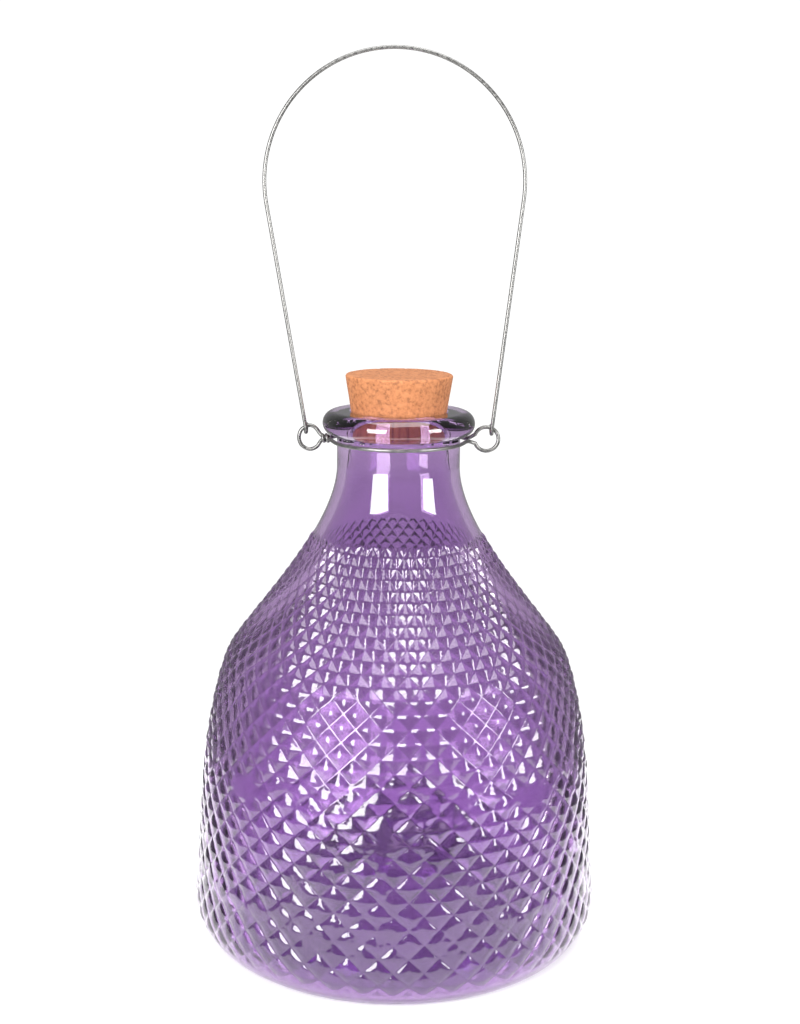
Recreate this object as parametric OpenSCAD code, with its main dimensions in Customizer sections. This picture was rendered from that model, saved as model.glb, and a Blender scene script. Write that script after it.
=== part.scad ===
// Hanging glass wasp trap: a bell-shaped bottle with an upturned entry in its base,
// a tapered cork in its mouth, a wire collar under its lip and a wire handle hooked into the collar.
// The origin is the centre of the plane that the foot ring rests on. +Z points up the bottle's axis,
// and the collar's two eyes and the handle lie in the XZ plane. Lengths are in millimetres.

/* [Bottle] */
// Outer radius of the drum where the rounded heel meets it
drum_r = 66; // [64:0.5:69]
// Outer radius of the drum where the shoulder starts
drum_top_r = 63.5; // [62:0.5:64]
// Height at which the shoulder starts
shoulder_z = 50; // [44:1:54]
// Outer radius where the shoulder turns from convex to hollow
turn_r = 53.2; // [51:0.2:55]
// Height of that turn
turn_z = 96.5; // [94:0.5:99]
// Slope of the wall at that turn, in degrees above level
turn_angle = 55; // [50:1:60]
// Outer radius of the straight neck
neck_r = 19.5; // [19.2:0.1:19.8]
// Height at which the neck becomes straight
neck_z = 155; // [152:1:157]
// Radius of the round bead's section at the lip
bead_r = 3.8; // [3.5:0.1:4]
// Outer radius of the bead
bead_outer_r = 24.1; // [23.6:0.1:24.2]
// Height of the lip
lip_z = 172.2; // [171.8:0.2:172.6]
// Radius of the mouth's bore
bore_r = 15.25; // [15.2:0.05:15.5]
// Thickness of the glass
wall = 3; // [2.6:0.1:3.2]

/* [Base and entry] */
// Outer radius of the flat foot ring
foot_r = 57; // [56:0.5:58]
// Width of the foot ring
foot_w = 5; // [4:0.5:6]
// Height at which the rounded heel meets the drum
heel_z = 13; // [11:0.5:15]
// Radius of the entry hole at the funnel's rim
entry_r = 20; // [16:0.5:22]
// Height at which the funnel's rim starts to round over
entry_z = 30; // [26:1:34]

/* [Cork] */
// Radius of the cork's top
cork_top_r = 17.1; // [16.9:0.1:17.2]
// Radius of the cork's bottom
cork_bottom_r = 14.2; // [14:0.1:14.2]
// Length of the cork
cork_h = 18; // [16:0.5:19]
// Height of the cork's top
cork_top_z = 183.8; // [183.8:0.2:185]
// Chamfer around both ends of the cork
cork_chamfer = 0.5; // [0.3:0.1:0.8]

/* [Collar] */
// Radius of the galvanised wire
wire_r = 0.6; // [0.5:0.05:0.65]
// Radius of the collar ring, to the middle of the wire
collar_r = 21; // [20.8:0.1:21.4]
// Height of the collar ring
collar_z = 162.8; // [162:0.2:163]
// Angle from each eye at which the wire leaves the ring, in degrees
collar_gap = 14; // [12:1:18]
// Distance from the bottle's axis to the middle of each eye
eye_x = 27.8; // [27.6:0.1:28.4]
// Height of the middle of each eye
eye_z = 163.4; // [162.8:0.2:163.6]
// Radius of each eye, to the middle of the wire
eye_r = 3.8; // [3.7:0.1:3.9]
// Radius of the short wrap of wire that closes each eye
wrap_r = 1.2; // [1.1:0.05:1.3]
// Length of that wrap
wrap_h = 2.4; // [2:0.1:2.6]

/* [Handle] */
// Radius of the handle's crown, to the middle of the wire
crown_r = 39.8; // [38:0.2:42]
// Height of the crown's centre
crown_z = 242.5; // [235:0.5:255]
// Sideways offset of the crown's centre: the handle leans a little
crown_x = -2; // [-3:0.5:3]
// Radius of the hook at each end, to the middle of the wire
hook_r = 1.85; // [1.8:0.05:1.9]
// Angle around the eye, outward from its top, at which the handle hangs, in degrees
hang_angle = 24; // [20:1:26]
// Turn of each hook around the eye's wire, in degrees
hook_turn = 205; // [185:5:215]

/* [Hidden] */
$fn = 96;
wire_fn = 24;
curve_steps = 14;
arc_steps = 8;
mouth_round = 0.8;
// lengths of the shoulder curve's control handles at its start, at the turn and at the neck
start_handle = 10.5;
turn_handles = [9, 16.4];
neck_handle = 19;
// rods and arcs meet in a ball a little larger than the wire
ball_r = wire_r + 0.1;
bead_x = bead_outer_r - bead_r;
bead_z = lip_z - bead_r;
foot_in_r = foot_r - foot_w;
hang = [eye_x + eye_r * sin(hang_angle), eye_z + eye_r * cos(hang_angle)];

// a point on a cubic curve, its direction, and its curve moved sideways by d (left of its direction)
function bezier(p, t) =
    pow(1 - t, 3) * p[0] + 3 * pow(1 - t, 2) * t * p[1] + 3 * (1 - t) * t * t * p[2] + pow(t, 3) * p[3];
function slope(p, t) =
    pow(1 - t, 2) * (p[1] - p[0]) + 2 * (1 - t) * t * (p[2] - p[1]) + t * t * (p[3] - p[2]);
function left(v) = [-v[1], v[0]] / norm(v);
function moved(p, d) =
    [for (i = [0:curve_steps]) bezier(p, i / curve_steps) + d * left(slope(p, i / curve_steps))];
function ellipse(c, rx, ry, a0, a1) =
    [for (i = [0:arc_steps]) let (a = a0 + (a1 - a0) * i / arc_steps) c + [rx * cos(a), ry * sin(a)]];
function reversed(list) = [for (i = [len(list) - 1:-1:0]) list[i]];

// control points of the outer wall from the drum to the turn, and from the turn to the neck
turn = [turn_r, turn_z];
turn_way = [cos(turn_angle), -sin(turn_angle)];
drum_way = [drum_r - drum_top_r, heel_z - shoulder_z] / norm([drum_r - drum_top_r, heel_z - shoulder_z]);
shoulder = [
    [drum_top_r, shoulder_z],
    [drum_top_r, shoulder_z] - start_handle * drum_way,
    turn + turn_handles[0] * turn_way,
    turn,
];
hollow = [
    turn,
    turn - turn_handles[1] * turn_way,
    [neck_r, neck_z - neck_handle],
    [neck_r, neck_z],
];
// control points of the funnel's underside, from the foot ring up to the rim of the entry hole
funnel = [
    [foot_in_r, 0],
    [foot_in_r - 6, 17],
    [entry_r, entry_z - 18],
    [entry_r, entry_z],
];

// the bottle's closed section, up the outside, down the inside and over the funnel
function glass_section() = concat(
    [[foot_in_r, 0]],
    ellipse([foot_r, heel_z], drum_r - foot_r, heel_z, -90, 0),
    moved(shoulder, 0),
    moved(hollow, 0),
    ellipse([bead_x, bead_z], bead_r, bead_r, -acos((neck_r - bead_x) / bead_r), 90),
    ellipse([bore_r + mouth_round, lip_z - mouth_round], mouth_round, mouth_round, 90, 180),
    [[bore_r, neck_z + wall]],
    reversed(moved(hollow, wall)),
    reversed(moved(shoulder, wall)),
    ellipse([foot_r, heel_z], drum_r - foot_r - wall, heel_z - wall, 0, -90),
    [for (p = moved(funnel, -wall)) if (p[1] > wall) p],
    ellipse([entry_r + wall / 2, entry_z], wall / 2, wall / 2, 0, 180),
    [for (i = [curve_steps:-1:1]) bezier(funnel, i / curve_steps)]
);

// a straight length of wire between two points
module rod(a, b) {
    d = b - a;
    translate(a)
        rotate([0, acos(d[2] / norm(d)), atan2(d[1], d[0])])
            cylinder(h = norm(d), r = wire_r, $fn = wire_fn);
}

module ball(p) {
    translate(p)
        sphere(r = ball_r, $fn = wire_fn);
}

// a round length of wire in the XY plane, from angle a0 to a1
module bend(r, a0, a1) {
    rotate([0, 0, a0])
        rotate_extrude(angle = a1 - a0)
            translate([r, 0])
                circle(r = wire_r, $fn = wire_fn);
}

module glass_bottle() {
    color("mediumpurple", 0.6)
        rotate_extrude()
            polygon(glass_section());
}

module cork_stopper() {
    color("sandybrown")
        translate([0, 0, cork_top_z - cork_h])
            rotate_extrude()
                polygon([
                    [0, 0],
                    [cork_bottom_r - cork_chamfer, 0],
                    [cork_bottom_r, cork_chamfer],
                    [cork_top_r, cork_h - cork_chamfer],
                    [cork_top_r - cork_chamfer, cork_h],
                    [0, cork_h],
                ]);
}

// half of the collar: half the ring, the eye at its end, the two wires that lead to it and their wrap
module collar_half() {
    gather = [eye_x - eye_r - wrap_h / 2, 0, eye_z];
    ring_ends = [
        for (side = [-1, 1]) [collar_r * cos(collar_gap), side * collar_r * sin(collar_gap), collar_z]
    ];
    translate([0, 0, collar_z])
        bend(collar_r, collar_gap, 180 - collar_gap);
    for (end = ring_ends)
        rod(end, gather);
    for (end = ring_ends)
        ball(end);
    translate([eye_x - eye_r + wire_r / 2 - wrap_h, 0, eye_z])
        rotate([0, 90, 0])
            cylinder(h = wrap_h, r = wrap_r, $fn = wire_fn);
    translate([eye_x, 0, eye_z])
        rotate([90, 0, 0])
            rotate_extrude()
                translate([eye_r, 0])
                    circle(r = wire_r, $fn = wire_fn);
}

module neck_collar() {
    color("silver")
        for (turn_to = [0, 180])
            rotate([0, 0, turn_to])
                collar_half();
}

// direction of the leg on one side (1 right, -1 left), as an angle above +X: it is tangent to the crown
function leg_angle(side) =
    let (d = [crown_x - side * hang[0], crown_z - hang[1]])
    atan2(d[1], d[0]) - side * asin(crown_r / norm(d));

module bail_handle() {
    color("silver") {
        translate([crown_x, -hook_r, crown_z])
            rotate([90, 0, 0])
                bend(crown_r, leg_angle(1) - 90, leg_angle(-1) + 90);
        for (side = [-1, 1]) {
            a = leg_angle(side) - side * 90;
            foot = [side * hang[0], -hook_r, hang[1]];
            shoulder_end = [crown_x + crown_r * cos(a), -hook_r, crown_z + crown_r * sin(a)];
            rod(foot, shoulder_end);
            ball(foot);
            ball(shoulder_end);
            translate([side * hang[0], 0, hang[1]])
                rotate([0, 90, 0])
                    bend(hook_r, -90, hook_turn - 90);
        }
    }
}

glass_bottle();
cork_stopper();
neck_collar();
bail_handle();
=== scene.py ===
"""Looks of a hanging pressed-glass wasp trap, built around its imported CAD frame.

The bottle is rebuilt with its diamond-point relief and scroll ornament, the cork with its grain and pores,
and the collar and the handle as bent galvanised wire. Lengths are in millimetres until a mesh is made.
"""

import math

import bpy
import numpy as np
from mathutils import Matrix, Vector, noise


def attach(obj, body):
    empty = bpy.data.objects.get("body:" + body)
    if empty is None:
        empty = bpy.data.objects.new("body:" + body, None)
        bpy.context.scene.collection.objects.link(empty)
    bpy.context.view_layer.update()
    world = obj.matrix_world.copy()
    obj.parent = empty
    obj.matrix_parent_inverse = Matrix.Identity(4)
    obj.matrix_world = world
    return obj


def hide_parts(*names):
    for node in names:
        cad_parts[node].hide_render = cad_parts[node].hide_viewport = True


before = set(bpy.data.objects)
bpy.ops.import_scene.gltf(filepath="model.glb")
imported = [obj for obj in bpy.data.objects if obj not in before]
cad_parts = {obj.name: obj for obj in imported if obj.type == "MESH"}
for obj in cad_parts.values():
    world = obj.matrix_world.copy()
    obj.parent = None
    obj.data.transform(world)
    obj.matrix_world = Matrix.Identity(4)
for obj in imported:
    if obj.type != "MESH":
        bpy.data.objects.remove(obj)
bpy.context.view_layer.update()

MM = 0.001

# ---------------------------------------------------------------- sizes that the CAD source also holds
DRUM_R, DRUM_TOP_R = 66.0, 63.5
HEEL_Z, SHOULDER_Z = 13.0, 50.0
TURN_R, TURN_Z, TURN_ANGLE = 53.2, 96.5, 55.0
NECK_R, NECK_Z = 19.5, 155.0
BEAD_R, BEAD_OUTER_R, LIP_Z = 3.8, 24.1, 172.2
BORE_R, MOUTH_ROUND, WALL = 15.25, 0.8, 3.0
FOOT_R, FOOT_W = 57.0, 5.0
ENTRY_R, ENTRY_Z = 20.0, 30.0
START_HANDLE, TURN_HANDLES, NECK_HANDLE = 10.5, (9.0, 16.4), 19.0
CORK_TOP_R, CORK_BOTTOM_R, CORK_H, CORK_TOP_Z = 17.1, 14.2, 18.0, 183.8
WIRE_R = 0.6
COLLAR_R, COLLAR_Z, COLLAR_GAP = 21.0, 162.8, 14.0
EYE_X, EYE_Z, EYE_R = 27.8, 163.4, 3.8
CROWN_R, CROWN_X, CROWN_Z = 39.8, -2.0, 242.5
HOOK_R, HANG_ANGLE, HOOK_TURN = 1.85, 24.0, 205.0

# ---------------------------------------------------------------- the relief
CELLS = 45  # diamonds around the bottle
RELIEF_FROM_Z, RELIEF_TO_Z = 5.5, 134.0
MEAN_LEVEL = 0.5  # share of a diamond's height that the plain surface runs at
EDGE_FADE = 0.9  # diamonds over which the relief fades out at its top and bottom
JOIN_ABOVE, JOIN_BELOW = 1.2, 0.9  # width of the bands that join the relief to the plain glass
CELL_H0, CELL_H_SLOPE = 5.6, 0.045  # slant height of a diamond: a constant, and a share of its radius
DRUM_DEPTH, SHOULDER_DEPTH = 0.70, 1.15  # apex above valley on the drum and on the shoulder
DRUM_ROUNDNESS, SHOULDER_ROUNDNESS = 2.4, 1.15  # of a diamond: 1 is a plain pyramid
CHANGE_Z = (50.0, 72.0)  # heights between which the diamonds change from the drum's to the shoulder's
CELL_STOPS = np.array([0.0, 0.06, 0.22, 0.41, 0.59, 0.78, 0.94])  # mesh lines over a cell's side
FINE_PER_COARSE = 3  # mesh columns of the relief for each column of the smooth glass
ORNAMENT_TURN = -3.0  # degrees from the front to the centre of the front quarter, positive to the right
ORNAMENT_RISE = 0.26  # height of a stroke
HALO = 0.5  # margin around a stroke in which the diamonds fade
UNDER_STROKE = 0.45  # share of the diamonds that shows through a stroke
STROKE_DOME, BLOB_DOME = 1.4, 1.2  # steepness of the sides of the strokes and of the smooth shapes
FULL_WIDTH = 1.4  # half width at which a stroke has its full height

# ---------------------------------------------------------------- the light
STUDIO_WHITE, ROOM_LIGHT, FLOOR_GLOW = 1.08, 0.55, 0.36
BACKDROP = 0.93  # brightness of the backdrop to all but the camera
MIRRORED = 0.32  # share of the room and the backdrop that reflections see
ROOM_TO_BACKDROP = (-0.25, 0.50)  # Y of the directions between which the room turns into the backdrop
LIGHT_DISTANCE, LIGHT_TARGET_Z = 0.9, 0.11  # metres
SOFTBOXES = [  # name, azimuth, elevation, width, height, radiance
    ("softbox_left", -33, 11.5, 0.46, 0.56, 13.5),
    ("softbox_right", 56, 12, 0.32, 0.44, 13.5),
    ("softbox_top", 20, 82, 0.80, 0.80, 4.0),
]
FLOOR_HALF = 0.17  # metres

# ---------------------------------------------------------------- the camera
CAMERA_AT = (0, -0.480, 0.240)  # metres
CAMERA_LENS, CAMERA_SHIFT = 53.86, 0.00203
CAMERA_DOWN, CAMERA_ROLL = 11.83, 0.586  # degrees below level, and of roll

# ---------------------------------------------------------------- the glass
GLASS_SPAN = 180.0  # height over which the tint, with its painted shade, and the haze are graded
GLASS_TINT_AND_SHADE = [  # share of that height, colour: the glass's violet, darkened towards the foot by painted shade that offsets the floor's glow seen through the heel, and lighter at the bead
    (0.05, (0.42, 0.24, 0.55)),
    (0.25, (0.54, 0.36, 0.66)),
    (0.5, (0.57, 0.40, 0.68)),
    (0.84, (0.62, 0.475, 0.715)),
    (0.92, (0.80, 0.68, 0.87)),
]
GLASS_HAZE = [(0.0, 0.14), (0.30, 0.16), (0.42, 0.22), (0.68, 0.20), (0.75, 0.03)]  # share, roughness
GLASS_IOR, GLASS_SPECULAR = 1.5, 0.15
GLASS_COAT, GLASS_COAT_ROUGHNESS = 0.7, 0.02  # the fire-polished skin
GLASS_VOLUME, GLASS_DENSITY = (0.4, 0.1, 0.5, 1.0), 45.0
TINT_UNEVENNESS = 0.16  # share of the height by which the tint wanders, from peak to peak

# ---------------------------------------------------------------- the cork, the wire and the floor
CORK_GRAIN = [(0.36, (0.14, 0.042, 0.016)), (0.46, (0.40, 0.145, 0.052)), (0.62, (0.55, 0.215, 0.085))]
CORK_PATCHES = [(0.3, (0.37, 0.135, 0.048)), (0.62, (0.50, 0.20, 0.080))]
PATCHES_OVER_GRAIN = 0.45
WEAR, WEAR_SCALE, SHRINK = 0.05, 0.35, 0.06  # unevenness of the cork's side, kept inside the CAD solid
PIT_DEPTH, PIT_SCALE, PIT_FROM = 0.35, 0.9, 0.34  # pits where the noise is above PIT_FROM
WIRE_GREY = [(0.3, (0.17, 0.17, 0.166)), (0.7, (0.34, 0.335, 0.325))]
WIRE_ROUGHNESS = [(0.3, (0.28,) * 3), (0.7, (0.48,) * 3)]
PAPER_WHITE = [(0.3, (0.93, 0.93, 0.93)), (0.7, (0.95, 0.95, 0.95))]


# ---------------------------------------------------------------- lines
def bezier(p, count):
    t = np.linspace(0, 1, count)[:, None]
    p = [np.array(q, float) for q in p]
    return (1 - t) ** 3 * p[0] + 3 * (1 - t) ** 2 * t * p[1] + 3 * (1 - t) * t * t * p[2] + t**3 * p[3]


def ellipse(centre, rx, ry, start, end, count):
    a = np.radians(np.linspace(start, end, count))
    return np.stack([centre[0] + rx * np.cos(a), centre[1] + ry * np.sin(a)], axis=1)


def straight(a, b, count):
    return np.linspace(np.array(a, float), np.array(b, float), count)


def directions(points):
    way = np.gradient(points, axis=0)
    return way / np.linalg.norm(way, axis=1)[:, None]


def sideways(points, distance):
    """The line moved to the left of its direction."""
    way = directions(points)
    return points + distance * np.stack([-way[:, 1], way[:, 0]], axis=1)


def joined(*lines):
    out = [lines[0]]
    for line in lines[1:]:
        skip = 1 if np.linalg.norm(line[0] - out[-1][-1]) < 1e-6 else 0
        out.append(line[skip:])
    return np.concatenate(out)


def curve_through(points, per_span=8):
    """A smooth line through points, in two or three dimensions."""
    p = np.array(points, float)
    p = np.concatenate([[2 * p[0] - p[1]], p, [2 * p[-1] - p[-2]]])
    t = np.linspace(0, 1, per_span, endpoint=False)[:, None]
    out = [
        0.5 * (2 * b + (c - a) * t + (2 * a - 5 * b + 4 * c - d) * t**2 + (3 * b - a - 3 * c + d) * t**3)
        for a, b, c, d in zip(p, p[1:], p[2:], p[3:])
    ]
    return np.concatenate(out + [p[-2:-1]])


def spiral(centre, start_r, end_r, start, turns, count=32):
    """A scroll that winds in from an angle in degrees; turns below zero wind clockwise."""
    a = np.radians(start + np.linspace(0, 360 * turns, count))
    r = np.linspace(start_r, end_r, count)
    return np.stack([centre[0] + r * np.cos(a), centre[1] + r * np.sin(a)], axis=1)


def smooth_step(edge0, edge1, x):
    t = np.clip((x - edge0) / (edge1 - edge0), 0, 1)
    return t * t * (3 - 2 * t)


# ---------------------------------------------------------------- the bottle's section
TURN = np.array([TURN_R, TURN_Z])
TURN_WAY = np.array([math.cos(math.radians(TURN_ANGLE)), -math.sin(math.radians(TURN_ANGLE))])
DRUM_TOP = np.array([DRUM_TOP_R, SHOULDER_Z])
DRUM_WAY = np.array([DRUM_R - DRUM_TOP_R, HEEL_Z - SHOULDER_Z])
DRUM_WAY = DRUM_WAY / np.linalg.norm(DRUM_WAY)
SHOULDER = [DRUM_TOP, DRUM_TOP - START_HANDLE * DRUM_WAY, TURN + TURN_HANDLES[0] * TURN_WAY, TURN]
HOLLOW = [TURN, TURN - TURN_HANDLES[1] * TURN_WAY, (NECK_R, NECK_Z - NECK_HANDLE), (NECK_R, NECK_Z)]
FOOT_IN_R = FOOT_R - FOOT_W
FUNNEL = [(FOOT_IN_R, 0), (FOOT_IN_R - 6, 17), (ENTRY_R, ENTRY_Z - 18), (ENTRY_R, ENTRY_Z)]


class Profile:
    """The outside of the bottle from its foot to its neck, looked up by length along it."""

    def __init__(self):
        self.points = joined(
            ellipse((FOOT_R, HEEL_Z), DRUM_R - FOOT_R, HEEL_Z, -90, 0, 300),
            straight((DRUM_R, HEEL_Z), (DRUM_TOP_R, SHOULDER_Z), 300),
            bezier(SHOULDER, 600),
            bezier(HOLLOW, 900),
        )
        steps = np.linalg.norm(np.diff(self.points, axis=0), axis=1)
        self.length = np.concatenate([[0], np.cumsum(steps)])
        way = directions(self.points)
        self.normal = np.stack([way[:, 1], -way[:, 0]], axis=1)

    def at(self, s):
        """(r, z, r of the normal, z of the normal) at each length."""
        columns = np.concatenate([self.points, self.normal], axis=1).T
        return [np.interp(s, self.length, c) for c in columns]

    def length_at(self, z):
        return float(np.interp(z, self.points[:, 1], self.length))

    def between(self, s0, s1, count):
        r, z, _, _ = self.at(np.linspace(s0, s1, count))
        return np.stack([r, z], axis=1)


def smooth_section(profile):
    """The plain part of the section: from the top of the relief over the lip, down the inside, over the
    funnel, under the foot ring and up the heel to the bottom of the relief."""
    bead = (BEAD_OUTER_R - BEAD_R, LIP_Z - BEAD_R)
    bead_start = -math.degrees(math.acos((NECK_R - bead[0]) / BEAD_R))
    top, bottom = profile.length_at(RELIEF_TO_Z), profile.length_at(RELIEF_FROM_Z)
    inner_wall = sideways(joined(bezier(SHOULDER, 241), bezier(HOLLOW, 301)), WALL)[::10]
    inner_funnel = sideways(bezier(FUNNEL, 28), -WALL)
    edge = 0.5
    return joined(
        profile.between(top + JOIN_ABOVE, profile.length[-1], 14),
        straight((NECK_R, NECK_Z), (NECK_R, bead[1] - BEAD_R + 0.6), 6),
        ellipse(bead, BEAD_R, BEAD_R, bead_start, 90, 26),
        straight((bead[0], LIP_Z), (BORE_R + MOUTH_ROUND, LIP_Z), 6),
        ellipse((BORE_R + MOUTH_ROUND, LIP_Z - MOUTH_ROUND), MOUTH_ROUND, MOUTH_ROUND, 90, 180, 7),
        straight((BORE_R, LIP_Z - MOUTH_ROUND), (BORE_R, NECK_Z + WALL), 5),
        inner_wall[::-1],
        ellipse((FOOT_R, HEEL_Z), DRUM_R - FOOT_R - WALL, HEEL_Z - WALL, 0, -90, 12),
        inner_funnel[inner_funnel[:, 1] > WALL],
        ellipse((ENTRY_R + WALL / 2, ENTRY_Z), WALL / 2, WALL / 2, 0, 180, 12),
        bezier(FUNNEL, 26)[::-1][:-1],
        ellipse((FOOT_IN_R + edge, edge), edge, edge, 180, 270, 5),
        straight((FOOT_IN_R + edge, 0), (FOOT_R, 0), 4),
        profile.between(0, bottom - JOIN_BELOW, 8),
    )


# ---------------------------------------------------------------- ornament, drawn on the unrolled drum
GARLAND = [(52, 61.5), (44, 62.5), (36, 65.5), (27, 68.2), (19, 67.4), (12.5, 68.6), (6, 71)]
FAN_TOP = 72.0  # height that the rays of the fan spread from
FAN_LEANS = (-36, -18, 0, 18, 36)
QUARTER = 90.0


def mirrored(path):
    return path * np.array([-1.0, 1.0])


def scroll(stem, *winding):
    """A stem that ends in a spiral."""
    return joined(curve_through(stem), spiral(*winding))


def ornament_strokes():
    """Raised strokes of one quarter of the drum: (line, half width at its start, middle and end). x is the
    length around the drum from the quarter's centre and z the height."""
    half = [
        # the garland that rises from the lozenge between two quarters, over the scroll, to the fan
        (curve_through(GARLAND), 1.1, 1.1, 0.8),
        # the main scroll and the stem that runs from it to the drop in the middle
        (scroll([(30, 66.6), (27.5, 67.2), (25, 66.4)], (24, 60.8), 5.6, 1.3, 80, -1.45), 0.9, 1.4, 1.0),
        (curve_through([(18.5, 60.5), (15.5, 63.5), (11.5, 63), (9, 58.5), (6.5, 54)]), 0.7, 1.3, 0.8),
        # the small scroll and the ring beside the drop
        (curve_through([(5.2, 66.5), (8.6, 67.6), (10.2, 64.6), (7.4, 61.8)]), 0.7, 1.3, 0.7),
        (spiral((6.6, 51.6), 3.1, 1.2, 100, 1.2, 26), 0.7, 1.1, 0.9),
        # leaves beside the drop
        (curve_through([(11, 49), (16.5, 51.5), (21, 48.5), (22.5, 43)]), 0.7, 1.5, 0.6),
        (curve_through([(10, 44.5), (14, 46.5), (18, 43.5), (19, 38.5)]), 0.6, 1.4, 0.6),
        # the lower border: a swag under each lozenge and two scrolls
        (curve_through([(32, 31.5), (38, 26.5), (44.5, 25), (51.8, 27.5)]), 1.0, 2.3, 2.2),
        (scroll([(31, 24), (26.5, 28.5), (21, 28.5)], (20, 23.6), 4.6, 1.2, 80, -1.3), 0.8, 1.4, 0.9),
        (curve_through([(15.5, 21), (12, 28), (7, 31.5), (2.2, 33.5)]), 0.7, 1.4, 0.8),
        (spiral((7.6, 23.4), 4.2, 1.1, 60, 1.3), 0.7, 1.3, 0.9),
    ]
    strokes = [(side(path), *widths) for path, *widths in half for side in (lambda p: p, mirrored)]
    for lean in np.radians(FAN_LEANS):
        ray = np.array([(r * math.sin(lean), FAN_TOP - r * math.cos(lean)) for r in (1, 5, 9.5)])
        strokes.append((ray, 0.6, 0.8, 1.1))
    return strokes


def ornament_blobs():
    """Smooth raised shapes of one quarter: (centre x, centre z, half width, half height)."""
    half = [(51.8, 62.0, 6.6, 3.9), (13.4, 57.0, 1.6, 1.6), (24.0, 60.8, 1.9, 1.9), (27.5, 38.5, 1.7, 3.0)]
    centre = [(0.0, 55.4, 2.7, 6.3), (0.0, 45.6, 2.3, 2.3), (0.0, 38.8, 1.8, 3.2), (0.0, 26.5, 2.4, 4.0)]
    return half + [(-x, z, rx, rz) for x, z, rx, rz in half] + centre


def distance_to(path, x, z):
    """Distance from each point to a line, and the share of the line at which it is nearest."""
    best, along = np.full(x.shape, 1e9), np.zeros(x.shape)
    for i, (a, b) in enumerate(zip(path, path[1:])):
        d = b - a
        t = np.clip(((x - a[0]) * d[0] + (z - a[1]) * d[1]) / (d @ d), 0, 1)
        near = np.hypot(x - a[0] - t * d[0], z - a[1] - t * d[1])
        hit = near < best
        best[hit], along[hit] = near[hit], (i + t[hit]) / (len(path) - 1)
    return best, along


def ornament(phi, z):
    """(height in mm, share of the diamonds that stays). phi is in degrees from the front, positive to the
    right."""
    x = np.radians((phi - ORNAMENT_TURN + QUARTER / 2) % QUARTER - QUARTER / 2) * DRUM_R
    rise, keep = np.zeros(x.shape), np.ones(x.shape)
    for path, *widths in ornament_strokes():
        reach = max(widths) + HALO
        lo, hi = path.min(axis=0) - reach, path.max(axis=0) + reach
        near_by = (x > lo[0]) & (x < hi[0]) & (z > lo[1]) & (z < hi[1])
        near, along = distance_to(path, x[near_by], z[near_by])
        width = np.interp(along, [0, 0.5, 1], widths)
        dome = np.clip(1 - (near / width) ** 2, 0, 1) ** STROKE_DOME
        rise[near_by] = np.maximum(rise[near_by], dome * ORNAMENT_RISE * np.sqrt(width / FULL_WIDTH))
        fade = UNDER_STROKE + (1 - UNDER_STROKE) * smooth_step(0.9, 1 + HALO / width, near / width)
        keep[near_by] = np.minimum(keep[near_by], fade)
    for cx, cz, rx, rz in ornament_blobs():
        near = np.hypot((x - cx) / rx, (z - cz) / rz)
        dome = np.clip(1 - near**2, 0, 1) ** BLOB_DOME
        rise = np.maximum(rise, dome * min(ORNAMENT_RISE * 1.2, 0.35 * min(rx, rz)))
        keep = np.minimum(keep, smooth_step(0.95, 1 + HALO / min(rx, rz), near))
    return rise, keep


# ---------------------------------------------------------------- the glass mesh
def relief_points(profile):
    """Grid of the patterned glass, whose lines u and w run along the valleys between the diamonds.
    Row d holds the points with u - w = d, and column is w. Returns points by row and column."""
    n = len(CELL_STOPS)
    samples = np.linspace(profile.length_at(RELIEF_FROM_Z), profile.length_at(RELIEF_TO_Z), 4000)
    row_height = (CELL_H0 + CELL_H_SLOPE * profile.at(samples)[0]) / 2
    level = np.concatenate([[0], np.cumsum(np.diff(samples) / row_height[1:])])
    levels = 2 * round(level[-1] / 2)
    level *= levels / level[-1]
    row, w = np.meshgrid(np.arange(levels * n + 1), np.arange(CELLS * n), indexing="ij")
    u = row + w
    along_u, along_w = u // n + CELL_STOPS[u % n], w // n + CELL_STOPS[w % n]
    height_level = along_u - along_w
    r, z, normal_r, normal_z = profile.at(np.interp(height_level, level, samples))
    phi = (along_u + along_w) / 2 * 360 / CELLS
    across = 2 * np.maximum(np.abs(CELL_STOPS[u % n] - 0.5), np.abs(CELL_STOPS[w % n] - 0.5))
    shoulder = smooth_step(*CHANGE_Z, z)
    roundness = DRUM_ROUNDNESS + (SHOULDER_ROUNDNESS - DRUM_ROUNDNESS) * shoulder
    depth = DRUM_DEPTH + (SHOULDER_DEPTH - DRUM_DEPTH) * shoulder
    diamond = (1 - across**roundness - MEAN_LEVEL) * depth
    edge = np.minimum(height_level, levels - height_level)
    rise, keep = ornament(phi, z)
    height = diamond * keep * smooth_step(0, EDGE_FADE, edge) + rise * smooth_step(0, 1, edge)
    radius, angle = r + height * normal_r, np.radians(phi - 90)
    return np.stack([radius * np.cos(angle), radius * np.sin(angle), z + height * normal_z], axis=2)


def relief_triangles(rows, columns):
    """A quad's corners are (u, w), (u+1, w), (u+1, w+1) and (u, w+1). It is split along the ridge that
    crosses it."""
    n = len(CELL_STOPS)
    w = np.arange(columns)
    node = lambda row, column: row * columns + column % columns
    out = []
    for row in range(rows):
        left, right = node(row, w), node(row, w + 1)
        top = node(row + 1, w)
        low = node(row - 1, w + 1)
        if row == 0:
            out.append(np.stack([left, right, top], axis=1))
        elif row == rows - 1:
            out.append(np.stack([left, low, right], axis=1))
        else:
            upright = ((row + 2 * w + 1) % n == 0)[:, None]
            out.append(np.where(upright, np.stack([left, low, top], 1), np.stack([left, low, right], 1)))
            out.append(np.where(upright, np.stack([low, right, top], 1), np.stack([left, right, top], 1)))
    return np.concatenate(out)


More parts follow.
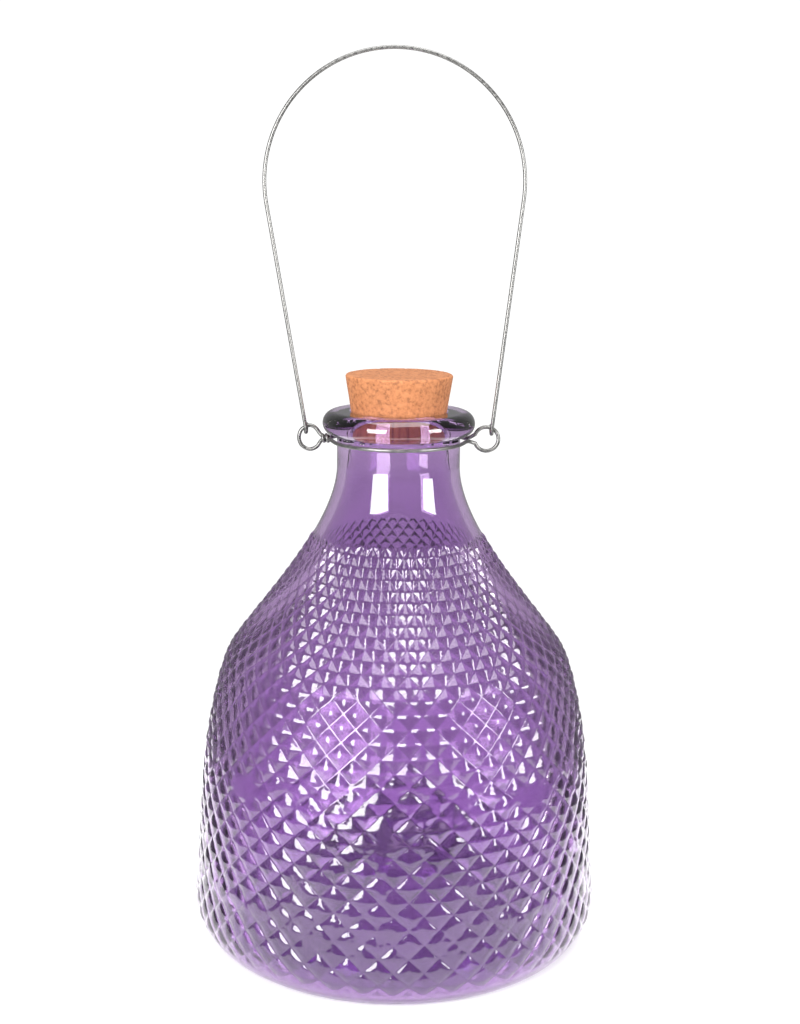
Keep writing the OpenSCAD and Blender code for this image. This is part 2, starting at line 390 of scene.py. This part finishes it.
def bridge(fine, coarse, fine_below):
    """Triangles between a fine ring and a coarse ring, three fine columns to a coarse one."""
    f = [np.roll(fine, -k)[::FINE_PER_COARSE] for k in range(4)]
    c0, c1 = coarse, np.roll(coarse, -1)
    if fine_below:
        made = [(f[0], f[1], c0), (f[1], f[2], c0), (f[2], c1, c0), (f[2], f[3], c1)]
    else:
        made = [(c0, f[1], f[0]), (c0, f[2], f[1]), (c0, c1, f[2]), (c1, f[3], f[2])]
    return np.concatenate([np.stack(t, axis=1) for t in made])


def glass_mesh():
    profile = Profile()
    relief = relief_points(profile)
    rows, columns = relief.shape[:2]
    n = len(CELL_STOPS)
    levels = (rows - 1) // n
    section = smooth_section(profile)
    coarse = columns // FINE_PER_COARSE
    turn = levels / 2 * 360 / CELLS
    phi = np.radians(turn + np.arange(coarse) * 360 / coarse - 90)
    rings = np.stack(
        [
            section[:, 0:1] * np.cos(phi),
            section[:, 0:1] * np.sin(phi),
            np.repeat(section[:, 1:2], coarse, axis=1),
        ],
        axis=2,
    )
    first = rows * columns
    ring = lambda i: first + i * coarse + np.arange(coarse)
    faces = [relief_triangles(rows, columns)]
    faces.append(bridge((rows - 1) * columns + np.arange(columns), ring(0), True))
    faces.append(bridge(np.roll(np.arange(columns), -(levels // 2) * n), ring(len(section) - 1), False))
    points = np.concatenate([relief.reshape(-1, 3), rings.reshape(-1, 3)])
    quads = []
    for i in range(len(section) - 1):
        a, b = ring(i), ring(i + 1)
        quads.append(np.stack([a, np.roll(a, -1), np.roll(b, -1), b], axis=1))
    return points, np.concatenate(faces).tolist() + np.concatenate(quads).tolist()


# ---------------------------------------------------------------- mesh helpers
def piece(name, points, faces, body, node, material):
    mesh = bpy.data.meshes.new(name)
    mesh.from_pydata((np.asarray(points) * MM).tolist(), [], faces)
    mesh.validate()
    mesh.shade_smooth()
    mesh.materials.append(material)
    obj = bpy.data.objects.new(name, mesh)
    bpy.context.scene.collection.objects.link(obj)
    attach(obj, body)
    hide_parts(node)
    return obj


END_CAP, END_ROUNDING = 0.12, 0.72  # length of a wire's rounded end, and the share of its radius there


def tube(path, radius, sides=16):
    """Round wire along a line of points, with slightly rounded ends."""
    way = directions(path)
    path = np.concatenate([[path[0] - way[0] * END_CAP], path, [path[-1] + way[-1] * END_CAP]])
    way = np.concatenate([way[:1], way, way[-1:]])
    radii = np.full(len(path), float(radius))
    radii[[0, -1]] *= END_ROUNDING
    side = Vector(way[0]).orthogonal().normalized()
    rings = []
    for p, d, r in zip(path, way, radii):
        d = Vector(d)
        side = (side - side.dot(d) * d).normalized()
        up = d.cross(side)
        for k in range(sides):
            a = 2 * math.pi * k / sides
            rings.append(Vector(p) + float(r) * (math.cos(a) * side + math.sin(a) * up))
    faces = []
    for i in range(len(path) - 1):
        for k in range(sides):
            a, b = i * sides + k, i * sides + (k + 1) % sides
            faces.append((a, b, b + sides, a + sides))
    faces.append(tuple(range(sides - 1, -1, -1)))
    last = (len(path) - 1) * sides
    faces.append(tuple(range(last, last + sides)))
    return np.array([tuple(v) for v in rings]), faces


def arc(centre, radius, start, end, count, z_axis, x_axis):
    """Points of a round bend in 3-D: angles in degrees from x_axis towards z_axis cross x_axis."""
    x_axis, z_axis = np.array(x_axis, float), np.array(z_axis, float)
    y_axis = np.cross(z_axis, x_axis)
    a = np.radians(np.linspace(start, end, count))[:, None]
    return np.array(centre, float) + radius * (np.cos(a) * x_axis + np.sin(a) * y_axis)


# ---------------------------------------------------------------- materials
def new_material(name):
    material = bpy.data.materials.new(name)
    material.use_nodes = True
    nodes, links = material.node_tree.nodes, material.node_tree.links
    nodes.clear()
    output = nodes.new("ShaderNodeOutputMaterial")
    shader = nodes.new("ShaderNodeBsdfPrincipled")
    links.new(shader.outputs["BSDF"], output.inputs["Surface"])
    return material, nodes, links, shader, output


def noise_node(nodes, links, scale, detail, roughness=0.5):
    """Noise in the object's own coordinates, in metres, so that scale is in cells per metre."""
    tex = nodes.new("ShaderNodeTexNoise")
    tex.inputs["Scale"].default_value = scale
    tex.inputs["Detail"].default_value = detail
    tex.inputs["Roughness"].default_value = roughness
    links.new(nodes.new("ShaderNodeTexCoord").outputs["Object"], tex.inputs["Vector"])
    return tex.outputs["Fac"]


def ramp(nodes, links, value, stops):
    node = nodes.new("ShaderNodeValToRGB")
    while len(node.color_ramp.elements) < len(stops):
        node.color_ramp.elements.new(0.5)
    for element, (place, colour) in zip(node.color_ramp.elements, stops):
        element.position = place
        element.color = (*colour, 1.0)
    links.new(value, node.inputs["Fac"])
    return node.outputs["Color"]


def bump(nodes, links, shader, height, strength, distance_mm):
    node = nodes.new("ShaderNodeBump")
    node.inputs["Strength"].default_value = strength
    node.inputs["Distance"].default_value = distance_mm * MM
    links.new(height, node.inputs["Height"])
    links.new(node.outputs["Normal"], shader.inputs["Normal"])


def ramp_between(nodes, links, value, low, high, at_low, at_high):
    """at_low below low, at_high above high, and smooth between them."""
    node = nodes.new("ShaderNodeMapRange")
    node.interpolation_type = "SMOOTHSTEP"
    for name, number in zip(("From Min", "From Max", "To Min", "To Max"), (low, high, at_low, at_high)):
        node.inputs[name].default_value = number
    links.new(value, node.inputs["Value"])
    return node.outputs["Result"]


def math_node(nodes, links, operation, a, b):
    node = nodes.new("ShaderNodeMath")
    node.operation = operation
    for value, socket in zip((a, b), node.inputs):
        if isinstance(value, float):
            socket.default_value = value
        else:
            links.new(value, socket)
    return node.outputs["Value"]


def violet_glass():
    material, nodes, links, shader, output = new_material("violet_glass")
    shader.inputs["Transmission Weight"].default_value = 1.0
    shader.inputs["IOR"].default_value = GLASS_IOR
    shader.inputs["Specular IOR Level"].default_value = GLASS_SPECULAR
    shader.inputs["Coat Weight"].default_value = GLASS_COAT
    shader.inputs["Coat Roughness"].default_value = GLASS_COAT_ROUGHNESS
    height = nodes.new("ShaderNodeSeparateXYZ")
    links.new(nodes.new("ShaderNodeTexCoord").outputs["Object"], height.inputs["Vector"])
    share = math_node(nodes, links, "DIVIDE", height.outputs["Z"], GLASS_SPAN * MM)
    uneven = math_node(nodes, links, "MULTIPLY", noise_node(nodes, links, 28.0, 2.0), TINT_UNEVENNESS)
    uneven = math_node(nodes, links, "SUBTRACT", uneven, TINT_UNEVENNESS / 2)
    # the tint ramp also paints shade: the glass is darker towards the foot
    tint = ramp(nodes, links, math_node(nodes, links, "ADD", share, uneven), GLASS_TINT_AND_SHADE)
    links.new(tint, shader.inputs["Base Color"])
    cloud = ramp(nodes, links, share, [(at, (haze,) * 3) for at, haze in GLASS_HAZE])
    streaks = noise_node(nodes, links, 90.0, 4.0, 0.6)
    streaks = ramp(nodes, links, streaks, [(0.35, (0.8,) * 3), (0.75, (1.3,) * 3)])
    links.new(math_node(nodes, links, "MULTIPLY", cloud, streaks), shader.inputs["Roughness"])
    bump(nodes, links, shader, noise_node(nodes, links, 110.0, 2.0), 0.25, 0.06)
    volume = nodes.new("ShaderNodeVolumeAbsorption")
    volume.inputs["Color"].default_value = GLASS_VOLUME
    volume.inputs["Density"].default_value = GLASS_DENSITY
    links.new(volume.outputs["Volume"], output.inputs["Volume"])
    return material


def cork_material():
    material, nodes, links, shader, _ = new_material("agglomerated_cork")
    grain = noise_node(nodes, links, 900.0, 4.0, 0.6)
    patches = noise_node(nodes, links, 260.0, 3.0, 0.6)
    mix = nodes.new("ShaderNodeMix")
    mix.data_type = "RGBA"
    links.new(ramp(nodes, links, grain, CORK_GRAIN), mix.inputs["A"])
    links.new(ramp(nodes, links, patches, CORK_PATCHES), mix.inputs["B"])
    mix.inputs["Factor"].default_value = PATCHES_OVER_GRAIN
    links.new(mix.outputs["Result"], shader.inputs["Base Color"])
    shader.inputs["Roughness"].default_value = 0.75
    bump(nodes, links, shader, grain, 0.5, 0.3)
    return material


def wire_material():
    material, nodes, links, shader, _ = new_material("galvanised_wire")
    shader.inputs["Metallic"].default_value = 0.9
    spangle = noise_node(nodes, links, 900.0, 4.0, 0.6)
    links.new(ramp(nodes, links, spangle, WIRE_GREY), shader.inputs["Base Color"])
    links.new(ramp(nodes, links, spangle, WIRE_ROUGHNESS), shader.inputs["Roughness"])
    bump(nodes, links, shader, spangle, 0.35, 0.05)
    return material


def floor_material():
    material, nodes, links, shader, _ = new_material("pale_floor")
    paper = noise_node(nodes, links, 60.0, 4.0)
    links.new(ramp(nodes, links, paper, PAPER_WHITE), shader.inputs["Base Color"])
    shader.inputs["Roughness"].default_value = 0.9
    shader.inputs["Emission Color"].default_value = (1.0, 1.0, 1.0, 1.0)
    shader.inputs["Emission Strength"].default_value = FLOOR_GLOW
    return material


# ---------------------------------------------------------------- cork
def cork_section():
    edge, centre = 0.7, 0.4  # radius of the worn edge, and of the flat disc in the middle of each end
    bottom = CORK_TOP_Z - CORK_H
    lean = (CORK_TOP_R - CORK_BOTTOM_R) / CORK_H * edge
    return joined(
        straight((centre, bottom), (CORK_BOTTOM_R - edge, bottom), 22),
        ellipse((CORK_BOTTOM_R - edge, bottom + edge), edge, edge, -90, 0, 4),
        straight((CORK_BOTTOM_R + lean, bottom + edge), (CORK_TOP_R - lean, CORK_TOP_Z - edge), 44),
        ellipse((CORK_TOP_R - lean - edge, CORK_TOP_Z - edge), edge, edge, 0, 90, 5),
        straight((CORK_TOP_R - 2 * edge, CORK_TOP_Z), (centre, CORK_TOP_Z), 30),
    )


def build_cork(material):
    """A tapered cork with a worn edge, small pits and a slightly uneven side."""
    columns = 200
    section = cork_section()
    outward = directions(section)
    outward = np.stack([outward[:, 1], -outward[:, 0]], axis=1)
    points = []
    for (r, z), (nr, nz) in zip(section, outward):
        for k in range(columns):
            a = 2 * math.pi * k / columns
            p = Vector((r * math.cos(a), r * math.sin(a), z))
            wear = WEAR * noise.noise(p * WEAR_SCALE) - SHRINK
            pit = noise.noise(p * PIT_SCALE + Vector((31.0, 7.0, 3.0)))
            depth = wear - PIT_DEPTH * max(0.0, pit - PIT_FROM)
            points.append((p.x + nr * math.cos(a) * depth, p.y + nr * math.sin(a) * depth, p.z + nz * depth))
    faces = []
    for i in range(len(section) - 1):
        for k in range(columns):
            a, b = i * columns + k, i * columns + (k + 1) % columns
            faces.append((a, b, b + columns, a + columns))
    faces.append(tuple(range(columns - 1, -1, -1)))
    last = (len(section) - 1) * columns
    faces.append(tuple(range(last, last + columns)))
    return piece("cork", points, faces, "stopper", "cork_stopper", material)


# ---------------------------------------------------------------- wire pieces
def build_collar(material):
    """One wire: a wrap and a drop-shaped eye on the left, round the front of the neck, a full loop on the
    right, and back round the neck to the wrap."""
    root_x = EYE_X - EYE_R
    x, y, z = (1, 0, 0), (0, 1, 0), (0, 0, 1)
    gap = COLLAR_GAP + 4
    left_eye = curve_through(
        [
            (-root_x + 1.2, -0.55, EYE_Z - 0.2),
            (-root_x - 0.6, -0.35, EYE_Z + 0.9),
            (-EYE_X + 1.4, 0, EYE_Z + 3.1),
            (-EYE_X - 0.6, 0, EYE_Z + EYE_R),
            (-EYE_X - 3.0, 0, EYE_Z + 2.4),
            (-EYE_X - EYE_R, 0, EYE_Z - 0.2),
            (-EYE_X - 2.8, 0, EYE_Z - 2.7),
            (-EYE_X - 0.4, 0, EYE_Z - EYE_R),
            (-EYE_X + 1.8, 0, EYE_Z - 3.0),
            (-root_x - 0.5, 0.35, EYE_Z - 1.0),
            (-root_x + 1.2, 0.55, EYE_Z - 0.2),
        ],
        6,
    )
    front = arc((0, 0, COLLAR_Z), COLLAR_R, 180 + gap, 360 - gap, 60, z, x)
    back = arc((0, 0, COLLAR_Z), COLLAR_R, gap, 180 - gap, 60, z, x)
    right_eye = arc((EYE_X, 0, EYE_Z), EYE_R, -160, 160, 34, (0, -1, 0), x)
    lean = np.linspace(-1, 1, len(right_eye)) ** 3
    right_eye[:, 1] += 0.65 * lean
    path = joined(
        left_eye[::-1],
        curve_through([left_eye[0], (-root_x + 2.4, -1.9, COLLAR_Z + 0.2), front[0]], 6),
        front,
        curve_through([front[-1], (root_x - 2.2, -2.2, COLLAR_Z + 0.1), right_eye[0]], 6),
        right_eye,
        curve_through([right_eye[-1], (root_x - 2.2, 2.2, COLLAR_Z + 0.4), back[0]], 6),
        back,
        curve_through([back[-1], (-root_x + 2.2, 2.0, COLLAR_Z + 0.3), (-root_x + 0.6, 1.0, EYE_Z)], 6),
    )
    points, faces = tube(path, WIRE_R)
    wrap_angle = np.linspace(0, 2 * math.pi * 2.1, 50)
    wrap = np.stack(
        [
            -root_x + 2.3 - wrap_angle / (2 * math.pi) * 1.25,
            1.15 * np.sin(wrap_angle),
            EYE_Z - 0.2 + 1.0 * np.cos(wrap_angle),
        ],
        axis=1,
    )
    more, more_faces = tube(wrap, WIRE_R * 0.92)
    faces = faces + [tuple(i + len(points) for i in f) for f in more_faces]
    points = np.concatenate([points, more])
    return piece("collar_wire", points, faces, "collar", "neck_collar", material)


def leg_angle(side, hang):
    d = np.array([CROWN_X - side * hang[0], CROWN_Z - hang[1]])
    return math.degrees(math.atan2(d[1], d[0]) - side * math.asin(CROWN_R / np.linalg.norm(d)))


def build_handle(material):
    hang = (
        EYE_X + EYE_R * math.sin(math.radians(HANG_ANGLE)),
        EYE_Z + EYE_R * math.cos(math.radians(HANG_ANGLE)),
    )
    y = -HOOK_R
    right, left = leg_angle(1, hang) - 90, leg_angle(-1, hang) + 90
    crown = arc((CROWN_X, y, CROWN_Z), CROWN_R, right, left, 90, (0, -1, 0), (1, 0, 0))
    hooks = {}
    for side in (1, -1):
        a = np.radians(np.linspace(0, HOOK_TURN, 22))
        hooks[side] = np.stack(
            [np.full(22, side * hang[0]), -HOOK_R * np.cos(a), hang[1] - HOOK_R * np.sin(a)], axis=1
        )
    right_leg = straight(hooks[1][0], crown[0], 24)
    left_leg = straight(crown[-1], hooks[-1][0], 24)
    path = joined(hooks[1][::-1], right_leg, crown, left_leg, hooks[-1])
    points, faces = tube(path, WIRE_R)
    return piece("handle_wire", points, faces, "handle", "bail_handle", material)


# ---------------------------------------------------------------- stage
def build_floor():
    mesh = bpy.data.meshes.new("floor")
    corners = [(x * FLOOR_HALF, y * FLOOR_HALF, 0) for x, y in ((-1, -1), (1, -1), (1, 1), (-1, 1))]
    mesh.from_pydata(corners, [], [(0, 1, 2, 3)])
    mesh.materials.append(floor_material())
    floor = bpy.data.objects.new("floor", mesh)
    bpy.context.scene.collection.objects.link(floor)


def softbox(name, azimuth, elevation, width, height, radiance):
    """An area light that faces the middle of the object. Azimuth 0 is the camera's side, positive to the
    right."""
    a, e = math.radians(azimuth), math.radians(elevation)
    light = bpy.data.lights.new(name, "AREA")
    light.shape = "RECTANGLE"
    light.size, light.size_y = width, height
    light.energy = radiance * math.pi * width * height
    obj = bpy.data.objects.new(name, light)
    target = Vector((0, 0, LIGHT_TARGET_Z))
    back = Vector((math.sin(a) * math.cos(e), -math.cos(a) * math.cos(e), math.sin(e)))
    obj.location = target + back * LIGHT_DISTANCE
    obj.rotation_euler = (-back).to_track_quat("-Z", "Y").to_euler()
    obj.visible_camera = False
    bpy.context.scene.collection.objects.link(obj)


def build_world():
    """A white backdrop behind the object and a dim room on the other sides. The camera sees plain white."""
    world = bpy.data.worlds.new("studio")
    bpy.context.scene.world = world
    world.use_nodes = True
    nodes, links = world.node_tree.nodes, world.node_tree.links
    background = nodes["Background"]
    way = nodes.new("ShaderNodeSeparateXYZ")
    links.new(nodes.new("ShaderNodeTexCoord").outputs["Generated"], way.inputs["Vector"])
    room = ramp_between(nodes, links, way.outputs["Y"], *ROOM_TO_BACKDROP, ROOM_LIGHT, BACKDROP)
    ray = nodes.new("ShaderNodeLightPath").outputs
    mirrored = math_node(nodes, links, "MULTIPLY", ray["Is Glossy Ray"], ray["Is Reflection Ray"])
    dimmed = ramp_between(nodes, links, mirrored, 0.0, 1.0, 1.0, MIRRORED)
    seen = math_node(nodes, links, "MULTIPLY", ray["Is Camera Ray"], STUDIO_WHITE)
    room = math_node(nodes, links, "MULTIPLY", room, dimmed)
    links.new(math_node(nodes, links, "MAXIMUM", room, seen), background.inputs["Strength"])
    background.inputs["Color"].default_value = (1.0, 1.0, 1.0, 1.0)


def build_camera():
    camera = bpy.data.cameras.new("camera")
    camera.sensor_width = 36.0
    camera.lens = CAMERA_LENS
    camera.shift_x = CAMERA_SHIFT
    camera.clip_start, camera.clip_end = 0.01, 20.0
    obj = bpy.data.objects.new("camera", camera)
    pitch = Matrix.Rotation(math.radians(90 - CAMERA_DOWN), 4, "X")
    roll = Matrix.Rotation(math.radians(CAMERA_ROLL), 4, "Z")
    obj.matrix_world = Matrix.Translation(CAMERA_AT) @ pitch @ roll
    bpy.context.scene.collection.objects.link(obj)
    bpy.context.scene.camera = obj


def main():
    scene = bpy.context.scene
    scene.view_settings.view_transform = "Standard"
    build_world()
    build_floor()
    for box in SOFTBOXES:
        softbox(*box)
    build_camera()
    wire = wire_material()
    points, faces = glass_mesh()
    piece("bottle_glass", points, faces, "bottle", "glass_bottle", violet_glass())
    build_cork(cork_material())
    build_collar(wire)
    build_handle(wire)


main()
